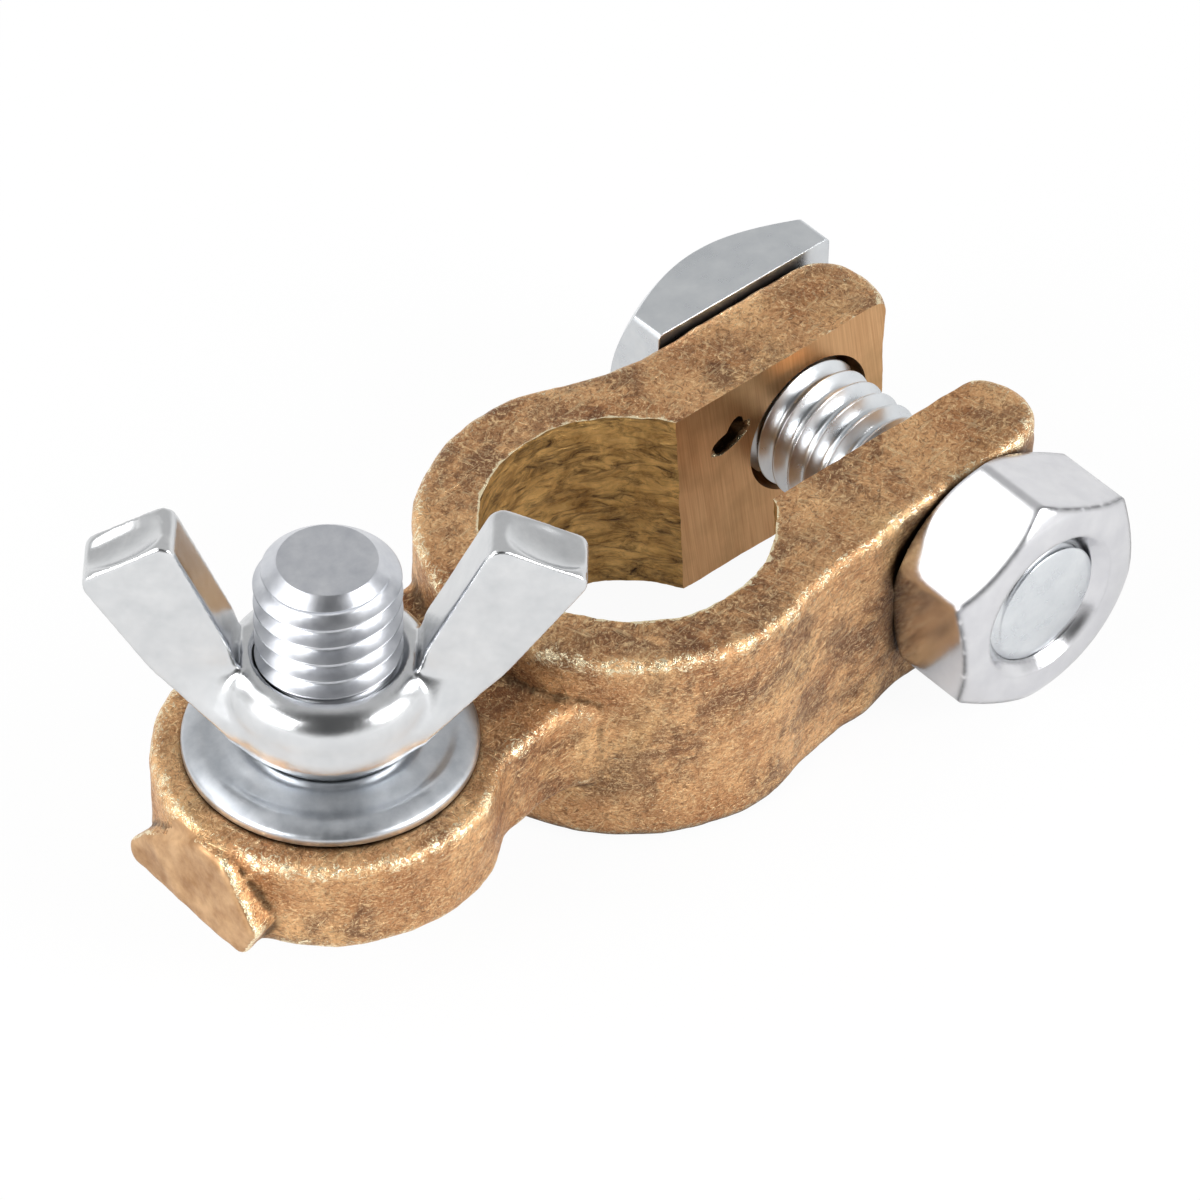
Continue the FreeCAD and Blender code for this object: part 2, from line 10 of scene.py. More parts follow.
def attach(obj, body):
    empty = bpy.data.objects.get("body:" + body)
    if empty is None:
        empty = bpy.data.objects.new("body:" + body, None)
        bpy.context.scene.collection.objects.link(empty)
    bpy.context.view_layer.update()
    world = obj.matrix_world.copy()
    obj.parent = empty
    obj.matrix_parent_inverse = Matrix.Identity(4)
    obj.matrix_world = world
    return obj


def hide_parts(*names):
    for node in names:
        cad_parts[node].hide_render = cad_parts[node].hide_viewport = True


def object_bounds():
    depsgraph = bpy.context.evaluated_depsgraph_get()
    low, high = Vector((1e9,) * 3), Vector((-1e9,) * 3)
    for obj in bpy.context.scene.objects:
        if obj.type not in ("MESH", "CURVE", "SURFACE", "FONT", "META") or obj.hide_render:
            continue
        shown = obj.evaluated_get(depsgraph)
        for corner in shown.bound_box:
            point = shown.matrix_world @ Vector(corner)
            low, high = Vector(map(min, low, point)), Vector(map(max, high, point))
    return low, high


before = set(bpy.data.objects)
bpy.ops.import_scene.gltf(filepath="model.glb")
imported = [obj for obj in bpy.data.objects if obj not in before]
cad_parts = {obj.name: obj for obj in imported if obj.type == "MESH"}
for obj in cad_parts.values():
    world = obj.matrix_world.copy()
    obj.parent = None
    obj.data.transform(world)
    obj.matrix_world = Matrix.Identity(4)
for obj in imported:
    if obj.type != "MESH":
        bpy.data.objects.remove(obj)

frame_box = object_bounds()

# Clamp body: sand-cast brass, tumbled after fettling, so its edges are worn bright, with a
# painted highlight laid along them too, and its flats hold a brown patina full of short scratches.
# The bore is left as its core shaped it, the slot and bolt hole are cut later, and the stub of the
# sheared gate stands on the lug's end.
MM = 0.001
RING_HEIGHT = 13.5
BODY_FOOT = 0.1
RING_RADIUS = 11.75
RING_CENTRE = Vector((0.0, 0.15))
RING_START, RING_END = 62, 292
CAST_EDGE = 0.7
# The ears, neck and lug are outlines seen from above. The gate's face is across and up.
FAR_EAR = [
    (23.0, 3.9), (23.65, 5.4), (23.7, 7.2), (23.1, 8.7), (21.6, 9.55), (19.2, 9.66),
    (15.0, 9.66), (11.0, 9.64), (9.0, 9.62), (7.4, 9.85),
]
NEAR_EAR = [
    (5.9, -10.5), (7.4, -10.3), (9.2, -10.25), (10.6, -9.95), (12.2, -9.68), (15.0, -9.64),
    (18.6, -9.55), (21.2, -9.25), (22.8, -8.5), (23.6, -7.2), (23.6, -5.6), (23.0, -4.3),
    (21.8, -3.3), (21.4, 0.0), (21.8, 2.9),
]
LUG_CENTRE = Vector((-21.6, -0.4))
LUG_RADIUS = 9.72
LUG_START, LUG_END = 48, 312
LUG_LOW, LUG_HIGH = 4.4, 10.5
NECK_FAR = [(-8.6, 7.0), (-10.4, 6.55), (-12.2, 6.4), (-13.9, 6.65)]
NECK_NEAR = [(-13.9, -7.45), (-12.2, -7.1), (-10.4, -7.15), (-8.6, -7.6)]
GATE_FACE = [
    (4.4, 4.3), (4.9, 5.7), (3.0, 7.7), (-1.3, 10.3), (-3.6, 10.2), (-6.3, 6.6), (-5.0, 4.2),
]
GATE_OUT, GATE_ROOT = -31.75, -28.6
GATE_NARROWING = (1, 0.86, 0.9)
GATE_EDGE = 0.45
BORE_TOP, BORE_BASE = 8.2, 9.05
SLOT_HALF = 4.05
BOLT_LINE = Vector((17.4, 7.4))
BOLT_HOLE = 4.45
STUD_HOLE = 4.0
STUD_SEAT_RADIUS, STUD_SEAT_DEPTH = 6.3, 1.8
GAS_HOLE_PLACE = (11.4, 4.3, 9.9)
GAS_HOLE_SIZE = (1.55, 1.7, 0.9)
GAS_HOLE_TILT = 34
CAST_GRAIN, CAST_PASSES = 0.22, 3
# Each wave of the rough surfaces is a size, a depth and a seed.
CAST_WAVES = [(3.2, 0.10, 1.0), (1.1, 0.05, 2.0), (0.45, 0.02, 3.0)]
BORE_WAVES = [(0.9, 0.10, 4.0), (0.35, 0.05, 5.0)]
BORE_ROWS, BORE_STEPS = 48, 176
PAST = 1.0


def solid(bm, name):
    """Makes an object of a bmesh drawn in millimetres, its faces outwards."""
    bmesh.ops.remove_doubles(bm, verts=bm.verts, dist=1e-5)
    bmesh.ops.recalc_face_normals(bm, faces=bm.faces)
    mesh = bpy.data.meshes.new(name)
    bm.to_mesh(mesh)
    bm.free()
    piece = bpy.data.objects.new(name, mesh)
    bpy.context.collection.objects.link(piece)
    return piece


def bake(piece):
    """Applies the modifiers that a piece carries."""
    depsgraph = bpy.context.evaluated_depsgraph_get()
    mesh = bpy.data.meshes.new_from_object(piece.evaluated_get(depsgraph))
    piece.modifiers.clear()
    piece.data = mesh


def combine(piece, operation, *tools):
    """Joins tools to a piece, cuts them out of it, or keeps what they share."""
    for tool in tools:
        step = piece.modifiers.new("step", "BOOLEAN")
        step.operation = operation
        step.solver = "MANIFOLD"
        step.object = tool
    bake(piece)
    for tool in tools:
        bpy.data.objects.remove(tool)
    return piece


def melt(piece, grain, passes):
    """Grows one skin over a piece's overlapping solids and softens its corners."""
    skin = piece.modifiers.new("skin", "REMESH")
    skin.mode = "VOXEL"
    skin.voxel_size = grain
    soft = piece.modifiers.new("soft", "SMOOTH")
    soft.factor = 0.5
    soft.iterations = passes
    bake(piece)


def slab(name, outline, low, high, edge):
    """A slab with a smooth outline, seen from above, and rounded rims."""
    curve = bpy.data.curves.new(name, "CURVE")
    curve.dimensions = "2D"
    curve.fill_mode = "BOTH"
    curve.resolution_u = 10
    curve.extrude = (high - low) / 2 - edge
    curve.bevel_depth = edge
    curve.bevel_resolution = 3
    curve.offset = -edge
    line = curve.splines.new("BEZIER")
    line.bezier_points.add(len(outline) - 1)
    line.use_cyclic_u = True
    for knot, place in zip(line.bezier_points, outline):
        knot.co = (*place, 0.0)
        knot.handle_left_type = knot.handle_right_type = "AUTO"
    holder = bpy.data.objects.new(name, curve)
    bpy.context.collection.objects.link(holder)
    bpy.context.view_layer.update()
    bm = bmesh.new()
    bm.from_mesh(holder.to_mesh())
    bpy.data.objects.remove(holder)
    bmesh.ops.translate(bm, verts=bm.verts, vec=(0, 0, (low + high) / 2))
    return bm


def arc(centre, radius, start, end, steps):
    """Places on an arc, counter-clockwise between two angles in degrees."""
    places = []
    for step in range(steps + 1):
        angle = math.radians(start + (end - start) * step / steps)
        places.append(centre + radius * Vector((math.cos(angle), math.sin(angle))))
    return places


def spun(profile, steps=128):
    """A solid turned about Z from a profile of radius and height that starts and ends on Z."""
    bm = bmesh.new()
    verts = [bm.verts.new((radius, 0.0, height)) for radius, height in profile]
    edges = [bm.edges.new(pair) for pair in zip(verts, verts[1:])]
    bmesh.ops.spin(bm, geom=verts + edges, axis=(0, 0, 1), cent=(0, 0, 0), dvec=(0, 0, 0),
                   angle=math.tau, steps=steps, use_merge=True, use_duplicate=False)
    bmesh.ops.remove_doubles(bm, verts=bm.verts, dist=1e-5)
    return bm


def box(low, high):
    """A square-edged block between two corners."""
    bm = bmesh.new()
    bmesh.ops.create_cube(bm, size=1.0)
    low, high = Vector(low), Vector(high)
    bmesh.ops.scale(bm, verts=bm.verts, vec=high - low)
    bmesh.ops.translate(bm, verts=bm.verts, vec=(low + high) / 2)
    return bm


def extrude(bm, face, shift):
    """Extrudes a face along a shift and gives back the new end face."""
    grown = bmesh.ops.extrude_face_region(bm, geom=[face])["geom"]
    end = next(item for item in grown if isinstance(item, bmesh.types.BMFace))
    bmesh.ops.translate(bm, verts=end.verts, vec=shift)
    return end


def roughen(bm, size, depth, seed):
    """Moves each point along its normal by smooth noise of one size and depth."""
    bm.normal_update()
    shift = Vector((seed, seed * 2.0, seed * 3.0))
    moves = [depth * noise.noise(point.co / size + shift) for point in bm.verts]
    for point, move in zip(bm.verts, moves):
        point.co += point.normal * move


def map_proud(piece, passes):
    """Stores how far each point stands proud, as a share of its neighbours' distance, evened out."""
    bm = bmesh.new()
    bm.from_mesh(piece.data)
    bm.normal_update()
    layer = bm.verts.layers.float.new("proud")
    for point in bm.verts:
        around = [edge.other_vert(point) for edge in point.link_edges]
        middle = sum((other.co for other in around), Vector()) / len(around)
        length = sum((other.co - point.co).length for other in around) / len(around)
        point[layer] = (point.co - middle).dot(point.normal) / max(length, 1e-3)
    for step in range(passes):
        even = []
        for point in bm.verts:
            around = [edge.other_vert(point)[layer] for edge in point.link_edges]
            even.append(0.5 * point[layer] + 0.5 * sum(around) / len(around))
        for point, value in zip(bm.verts, even):
            point[layer] = value
    bm.to_mesh(piece.data)
    bm.free()


def to_metres(piece):
    """Turns a piece drawn in millimetres into metres."""
    piece.data.transform(Matrix.Scale(MM, 4))


outline = arc(RING_CENTRE, RING_RADIUS, RING_START, RING_END, 12) + NEAR_EAR + FAR_EAR
body = solid(slab("clamp_body", outline, BODY_FOOT, RING_HEIGHT, CAST_EDGE), "brass_body")
outline = NECK_FAR + arc(LUG_CENTRE, LUG_RADIUS, LUG_START, LUG_END, 12) + NECK_NEAR
lug = solid(slab("lug", outline, LUG_LOW, LUG_HIGH, CAST_EDGE), "lug")

bm = bmesh.new()
gate_points = [bm.verts.new((GATE_OUT, across, up)) for across, up in GATE_FACE]
root = extrude(bm, bm.faces.new(gate_points), (GATE_ROOT - GATE_OUT, 0, 0))
gate_middle = sum((point.co for point in root.verts), Vector()) / len(root.verts)
bmesh.ops.scale(bm, verts=root.verts, vec=GATE_NARROWING, space=Matrix.Translation(-gate_middle))
bmesh.ops.bevel(bm, geom=bm.edges[:], offset=GATE_EDGE, segments=3, profile=0.5,
                affect="EDGES", material=-1)
gate = solid(bm, "gate")

combine(body, "UNION", lug, gate)
melt(body, CAST_GRAIN, CAST_PASSES)
bm = bmesh.new()
bm.from_mesh(body.data)
for size, depth, seed in CAST_WAVES:
    roughen(bm, size, depth, seed)
bm.to_mesh(body.data)
bm.free()

# The cutting tools reach a little past the casting.
rows = []
for row in range(BORE_ROWS + 1):
    height = -PAST + (RING_HEIGHT + 2.0 * PAST) * row / BORE_ROWS
    rows.append((BORE_BASE + (BORE_TOP - BORE_BASE) * height / RING_HEIGHT, height))
bm = spun([(0.0, -PAST)] + rows + [(0.0, RING_HEIGHT + PAST)], BORE_STEPS)
for size, depth, seed in BORE_WAVES:
    roughen(bm, size, depth, seed)
bore = solid(bm, "bore")
slot = solid(box((0, -SLOT_HALF, -PAST), (30, SLOT_HALF, RING_HEIGHT + PAST)), "slot")
bm = spun([(0, -15), (BOLT_HOLE, -15), (BOLT_HOLE, 15), (0, 15)])
bmesh.ops.rotate(bm, verts=bm.verts, matrix=Matrix.Rotation(math.radians(90), 3, "X"))
bmesh.ops.translate(bm, verts=bm.verts, vec=(BOLT_LINE.x, 0, BOLT_LINE.y))
bolt_hole = solid(bm, "bolt_hole")
bm = spun([(0, 0), (STUD_SEAT_RADIUS, 0), (STUD_SEAT_RADIUS, LUG_LOW + STUD_SEAT_DEPTH),
           (STUD_HOLE, LUG_LOW + STUD_SEAT_DEPTH), (STUD_HOLE, 15), (0, 15)])
bmesh.ops.translate(bm, verts=bm.verts, vec=(*LUG_CENTRE, 0))
stud_hole = solid(bm, "stud_hole")

bm = bmesh.new()
bmesh.ops.create_icosphere(bm, subdivisions=4, radius=1.0)
roughen(bm, 0.6, 0.4, 6.0)
bmesh.ops.scale(bm, verts=bm.verts, vec=GAS_HOLE_SIZE)
tilt = Matrix.Rotation(math.radians(-GAS_HOLE_TILT), 3, "Y")
bmesh.ops.rotate(bm, verts=bm.verts, matrix=tilt)
bmesh.ops.translate(bm, verts=bm.verts, vec=GAS_HOLE_PLACE)
gas_hole = solid(bm, "gas_hole")
combine(body, "DIFFERENCE", bore, slot, bolt_hole, stud_hole, gas_hole)
map_proud(body, 2)


def linear(code):
    """The linear colour of an sRGB hex value."""
    colour = []
    for place in (1, 3, 5):
        part = int(code[place:place + 2], 16) / 255
        colour.append(part / 12.92 if part <= 0.04045 else ((part + 0.055) / 1.055) ** 2.4)
    return colour + [1.0]


def add(tree, kind, links=None, **settings):
    """Adds a node, sets its properties and sockets, and links its inputs."""
    node = tree.nodes.new("ShaderNode" + kind)
    for name, value in settings.items():
        if hasattr(node, name):
            setattr(node, name, value)
        else:
            node.inputs[name.replace("_", " ")].default_value = value
    for name, source in (links or {}).items():
        tree.links.new(source, node.inputs[name])
    return node


def new_material(name):
    """A material with only its output and main shader, and the object's own coordinates."""
    material = bpy.data.materials.new(name)
    material.use_nodes = True
    tree = material.node_tree
    shader = tree.nodes["Principled BSDF"]
    place = add(tree, "TexCoord").outputs["Object"]
    return material, tree, shader, place


def ramp(tree, source, low, high):
    """A value that climbs from 0 to 1 as the source goes from low to high."""
    node = add(tree, "MapRange", {"Value": source}, clamp=True)
    node.inputs["From Min"].default_value = low
    node.inputs["From Max"].default_value = high
    return node.outputs["Result"]


def mix(tree, share, first, second):
    """Blends two colours, each a hex value or a socket."""
    node = add(tree, "Mix", data_type="RGBA")
    for slot_name, value in ((6, first), (7, second)):
        if isinstance(value, str):
            node.inputs[slot_name].default_value = linear(value)
        else:
            tree.links.new(value, node.inputs[slot_name])
    tree.links.new(share, node.inputs[0])
    return node.outputs[2]


def calc(tree, operation, first, second=0.0):
    """A Math node on sockets or plain numbers."""
    node = add(tree, "Math", operation=operation)
    for index, value in enumerate((first, second)):
        if isinstance(value, (int, float)):
            node.inputs[index].default_value = value
        else:
            tree.links.new(value, node.inputs[index])
    return node.outputs[0]


def cover(tree, under, share, strength, code):
    """Lays a colour over another where a share is high, at most to the given strength."""
    return mix(tree, calc(tree, "MULTIPLY", share, strength), under, code)


def spots(tree, place, size, detail, roughness=0.5, distortion=0.0):
    """Cloudy noise from 0 to 1 whose spots have the given size in millimetres."""
    cloud = add(tree, "TexNoise", {"Vector": place}, Scale=1 / (size * MM), Detail=detail,
                Roughness=roughness, Distortion=distortion)
    return cloud.outputs["Fac"]


def squeezed(tree, place, height_share):
    """The object's coordinates for patterns lower than they are wide."""
    node = add(tree, "Mapping", {"Vector": place})
    node.inputs["Scale"].default_value = (1, 1, height_share)
    return node.outputs[0]


def dress(tree, shader, colour, height, strength, depth):
    """Gives a shader its colour and a relief of the given depth in millimetres."""
    tree.links.new(colour, shader.inputs["Base Color"])
    bump = add(tree, "Bump", {"Height": height}, Strength=strength, Distance=depth * MM)
    tree.links.new(bump.outputs["Normal"], shader.inputs["Normal"])


def painted_crevice_shade(tree, reach, low, high):
    """A share for painted shade: 0 in a crevice, looked for within a reach in mm, to 1 in the open."""
    shade = add(tree, "AmbientOcclusion", Distance=reach * MM)
    shade.samples = 8
    return ramp(tree, shade.outputs["AO"], low, high)


def streaks(tree, place, turn, width, length):
    """A share that is 1 along short scratches of one direction, width and length in mm."""
    stretch = (1 / (width * MM), 1 / (length * MM), 1 / (width * MM))
    turned = add(tree, "Mapping", {"Vector": place}, vector_type="TEXTURE")
    turned.inputs["Rotation"].default_value = [math.radians(angle) for angle in turn]
    scaled = add(tree, "Mapping", {"Vector": turned.outputs[0]})
    scaled.inputs["Scale"].default_value = stretch
    grain = add(tree, "TexNoise", {"Vector": scaled.outputs[0]}, Scale=0.45, Detail=1.0,
                Distortion=0.8)
    return ramp(tree, grain.outputs["Fac"], 0.62, 0.76)


SCRATCH_TURNS = [(0, 0, 20), (40, 10, -35), (-50, 60, 80), (75, -30, 140), (15, 80, -70)]

# Tumbled cast brass: a dull brown oxide over yellow metal, which shines wherever the
# tumbling stones have rubbed through, on edges and along short scratches; the worn edges also
# get a painted near-white highlight. Patches of it are darker where the flats were handled,
# hollows stay dark with oxide, the gas hole's inside is painted dark as shade, and crevices
# get painted shade from ambient occlusion.
cast_brass, tree, shader, place = new_material("tumbled_cast_brass")
clouds = spots(tree, place, 4.5, 4.0, 0.6)
stains = spots(tree, place, 2.6, 8.0, 0.75, 0.4)
tarnish = spots(tree, place, 6.0, 3.0, 0.6, 0.5)
handled = spots(tree, place, 7.0, 2.0)
veins = spots(tree, squeezed(tree, place, 1.9), 0.55, 4.0, 0.7, 2.2)
shape = add(tree, "Attribute", attribute_name="proud").outputs["Fac"]
wobble = calc(tree, "MULTIPLY", calc(tree, "SUBTRACT", veins, 0.5), 0.3)
worn_edge_and_highlight = ramp(tree, calc(tree, "ADD", shape, wobble), 0.06, 0.085)
hollow_oxide_and_shade = ramp(tree, shape, -0.025, -0.08)
bright = None
dark = None
for turn in SCRATCH_TURNS:
    light_line = streaks(tree, place, turn, 0.09, 0.7)
    dark_line = streaks(tree, place, [angle + 33 for angle in turn], 0.11, 0.6)
    bright = light_line if bright is None else calc(tree, "MAXIMUM", bright, light_line)
    dark = dark_line if dark is None else calc(tree, "MAXIMUM", dark, dark_line)
patches = calc(tree, "MULTIPLY", ramp(tree, stains, 0.44, 0.56), ramp(tree, handled, 0.40, 0.54))
colour = mix(tree, ramp(tree, clouds, 0.35, 0.65), "#B27E54", "#E8B884")
colour = cover(tree, colour, ramp(tree, tarnish, 0.52, 0.7), 0.25, "#B0A070")
colour = cover(tree, colour, patches, 0.72, "#664434")
colour = cover(tree, colour, ramp(tree, veins, 0.53, 0.63), 0.65, "#64412B")
colour = cover(tree, colour, ramp(tree, veins, 0.45, 0.36), 0.75, "#F8D6A4")
colour = cover(tree, colour, dark, 0.45, "#5C3F2B")
colour = cover(tree, colour, bright, 0.45, "#F2D3A2")
# Hollows darken with oxide; inside the gas hole this same dark is painted shade.
colour = cover(tree, colour, hollow_oxide_and_shade, 0.75, "#3B2A1A")
# Wear and painted highlight: the most proud edges are covered with near-white cream.
colour = cover(tree, colour, worn_edge_and_highlight, 0.9, "#FFEFC8")
# Painted shade: the colour darkens towards a deep brown in crevices found by ambient occlusion.
colour = mix(tree, painted_crevice_shade(tree, 2.2, 0.3, 0.75), "#3A2818", colour)
relief = calc(tree, "SUBTRACT", calc(tree, "MULTIPLY", bright, 0.4), calc(tree, "MULTIPLY", veins, 1.2))
dress(tree, shader, colour, relief, 0.8, 0.06)
shader.inputs["Metallic"].default_value = 0.92
polish = calc(tree, "MULTIPLY", calc(tree, "MAXIMUM", bright, worn_edge_and_highlight), 0.24)
tree.links.new(calc(tree, "SUBTRACT", 0.50, polish), shader.inputs["Roughness"])

# As-cast bore: the core's rough print, dark with oxide, wiped brassy on its high spots.
bore_brass, tree, shader, place = new_material("as_cast_bore_brass")
clouds = spots(tree, place, 1.8, 5.0, 0.65, 0.6)
ripple = spots(tree, squeezed(tree, place, 2.6), 2.0, 9.0, 0.74, 0.9)
colour = mix(tree, ramp(tree, clouds, 0.35, 0.65), "#AE874E", "#F0C67E")
colour = cover(tree, colour, ramp(tree, ripple, 0.46, 0.66), 0.98, "#38210C")
colour = cover(tree, colour, ramp(tree, ripple, 0.42, 0.28), 0.7, "#F0CC8C")
dress(tree, shader, colour, ripple, 1.0, 0.14)
shader.inputs["Metallic"].default_value = 0.9
shader.inputs["Roughness"].default_value = 0.42

# Milled brass: clean metal with the fine slanting lines that a slitting cutter leaves.
milled_brass, tree, shader, place = new_material("milled_brass")
lay = add(tree, "Mapping", {"Vector": place}, vector_type="TEXTURE")
lay.inputs["Rotation"].default_value = (0, math.radians(-9), 0)
lines = add(tree, "Mapping", {"Vector": lay.outputs[0]})
lines.inputs["Scale"].default_value = (1 / (0.12 * MM), 1 / (2.0 * MM), 1 / (6.0 * MM))
lines = add(tree, "TexNoise", {"Vector": lines.outputs[0]}, Scale=1.0, Detail=3.0).outputs["Fac"]
stain = spots(tree, place, 3.5, 3.0)
colour = mix(tree, ramp(tree, lines, 0.2, 0.8), "#BC8B5C", "#E4B785")
colour = cover(tree, colour, ramp(tree, stain, 0.45, 0.7), 0.5, "#9C7A4C")
dress(tree, shader, colour, lines, 0.2, 0.008)
shader.inputs["Metallic"].default_value = 1.0
shader.inputs["Roughness"].default_value = 0.34

# Sheared brass: where the trim press broke the gate off, a smooth pale face without oxide.
sheared_brass, tree, shader, place = new_material("sheared_brass")
clouds = spots(tree, place, 1.6, 5.0, 0.6)
colour = mix(tree, ramp(tree, clouds, 0.35, 0.65), "#A98058", "#D4AE84")
dress(tree, shader, colour, clouds, 0.7, 0.12)
shader.inputs["Metallic"].default_value = 0.9
shader.inputs["Roughness"].default_value = 0.46

# The inside of the gas hole is given a low proud value, which paints shade into it.
GAS_HOLE_REACH, GAS_HOLE_PAINTED_SHADE = 2.2, -0.3
CAST, BORE, MILLED, SHEARED = range(4)
body.data.materials.clear()
for material in (cast_brass, bore_brass, milled_brass, sheared_brass):
    body.data.materials.append(material)
proud = body.data.attributes["proud"].data
for point in body.data.vertices:
    inside = point.co.y > SLOT_HALF + 0.4
    if inside and (point.co - Vector(GAS_HOLE_PLACE)).length < GAS_HOLE_REACH:
        proud[point.index].value = GAS_HOLE_PAINTED_SHADE
for face in body.data.polygons:
    spot, out = face.center, face.normal
    reach = math.hypot(spot.x, spot.y)
    wall = BORE_BASE + (BORE_TOP - BORE_BASE) * spot.z / RING_HEIGHT
    if abs(reach - wall) < 0.25 and out.x * spot.x + out.y * spot.y < -0.5 * reach:
        face.material_index = BORE
    elif abs(abs(spot.y) - SLOT_HALF) < 0.01 and abs(out.y) > 0.99:
        face.material_index = MILLED
    elif math.hypot(spot.x - BOLT_LINE.x, spot.z - BOLT_LINE.y) < BOLT_HOLE + 0.01:
        face.material_index = MILLED
    elif spot.x < GATE_OUT + 0.5 and out.x < -0.6:
        face.material_index = SHEARED
    else:
        face.material_index = CAST
body.data.set_sharp_from_angle(angle=math.radians(50))
for face in body.data.polygons:
    face.use_smooth = True
to_metres(body)
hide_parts("clamp_body")
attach(body, "clamp")

# Cable stud: M8, rolled thread with a turned end, zinc plated, pressed up through the lug
# until its flange seats in the underside. A thread is one coil spun from a profile of climb
# and sink, stacked, closed, and then trimmed to the rod's form.
PITCH = 1.25
THREAD_DEPTH = 0.66
THREAD_SHAPE = [
    (0.0, 1.0), (0.06, 0.985), (0.11, 0.93), (0.16, 0.84), (0.30, 0.49), (0.42, 0.17),
    (0.452, 0.05), (0.468, 0.0), (0.532, 0.0), (0.548, 0.05), (0.58, 0.17), (0.70, 0.49),
    (0.84, 0.84), (0.89, 0.93), (0.94, 0.985), (1.0, 1.0),
]
TURN_STEPS = 72
STUD_RADIUS = 3.98
STUD_THREAD_START = 4.96
STUD_TOP = 24.0
STUD_FLAT = 2.7
STUD_CHAMFER = 1.17
FLANGE_GAP, FLANGE_EDGE = 0.02, 0.3


def thread(radius, low, high):
    """A right-hand thread from low to high or a little past, closed at both ends."""
    bm = bmesh.new()
    points = []
    for climb, sink in THREAD_SHAPE:
        points.append(bm.verts.new((radius - sink * THREAD_DEPTH, 0, low - PITCH + climb * PITCH)))
    lines = [bm.edges.new(pair) for pair in zip(points, points[1:])]
    bmesh.ops.spin(bm, geom=points + lines, axis=(0, 0, 1), cent=(0, 0, 0),
                   dvec=(0, 0, PITCH / TURN_STEPS), angle=math.tau, steps=TURN_STEPS,
                   use_merge=False, use_duplicate=False)
    coil = solid(bm, "thread")
    turns = math.ceil((high - low) / PITCH) + 2
    stack = coil.modifiers.new("stack", "ARRAY")
    stack.count = turns
    stack.use_relative_offset = False
    stack.use_constant_offset = True
    stack.constant_offset_displace = (0, 0, PITCH)
    stack.use_merge_vertices = True
    stack.merge_threshold = 1e-3
    bake(coil)
    bm = bmesh.new()
    bm.from_mesh(coil.data)
    bpy.data.objects.remove(coil)
    middle = low + (turns - 1) * PITCH / 2
    for end, sign in ((low - 2 * PITCH, -1), (low + turns * PITCH + PITCH, 1)):
        rim = [edge for edge in bm.edges if edge.is_boundary]
        rim = [edge for edge in rim if (edge.verts[0].co.z - middle) * sign > 0]
        grown = bmesh.ops.extrude_edge_only(bm, edges=rim)["geom"]
        grown = [item for item in grown if isinstance(item, bmesh.types.BMVert)]
        bmesh.ops.pointmerge(bm, verts=grown, merge_co=(0, 0, end))
    return solid(bm, "thread")


def threaded(radius, low, high, flat, chamfer):
    """A threaded rod whose upper end is turned down to a flat."""
    over = radius + 0.02
    profile = [(0, low), (over, low), (over, high - chamfer), (flat, high), (0, high)]
    return combine(solid(spun(profile), "form"), "INTERSECT", thread(radius, low, high))


def smooth(piece, angle):
    """Shades a piece smooth, but for edges sharper than an angle in degrees."""
    for face in piece.data.polygons:
        face.use_smooth = True
    piece.data.set_sharp_from_angle(angle=math.radians(angle))
    return piece


stud = threaded(STUD_RADIUS, STUD_THREAD_START, STUD_TOP, STUD_FLAT, STUD_CHAMFER)
flange = solid(spun([
    (0, LUG_LOW), (STUD_SEAT_RADIUS - FLANGE_EDGE, LUG_LOW),
    (STUD_SEAT_RADIUS - FLANGE_GAP, LUG_LOW + 0.25),
    (STUD_SEAT_RADIUS - FLANGE_GAP, LUG_LOW + STUD_SEAT_DEPTH), (0, LUG_LOW + STUD_SEAT_DEPTH),
]), "flange")
combine(stud, "UNION", flange)
stud.name = "steel_stud"
stud.data.transform(Matrix.Translation((*LUG_CENTRE, 0)))
smooth(stud, 32)
to_metres(stud)


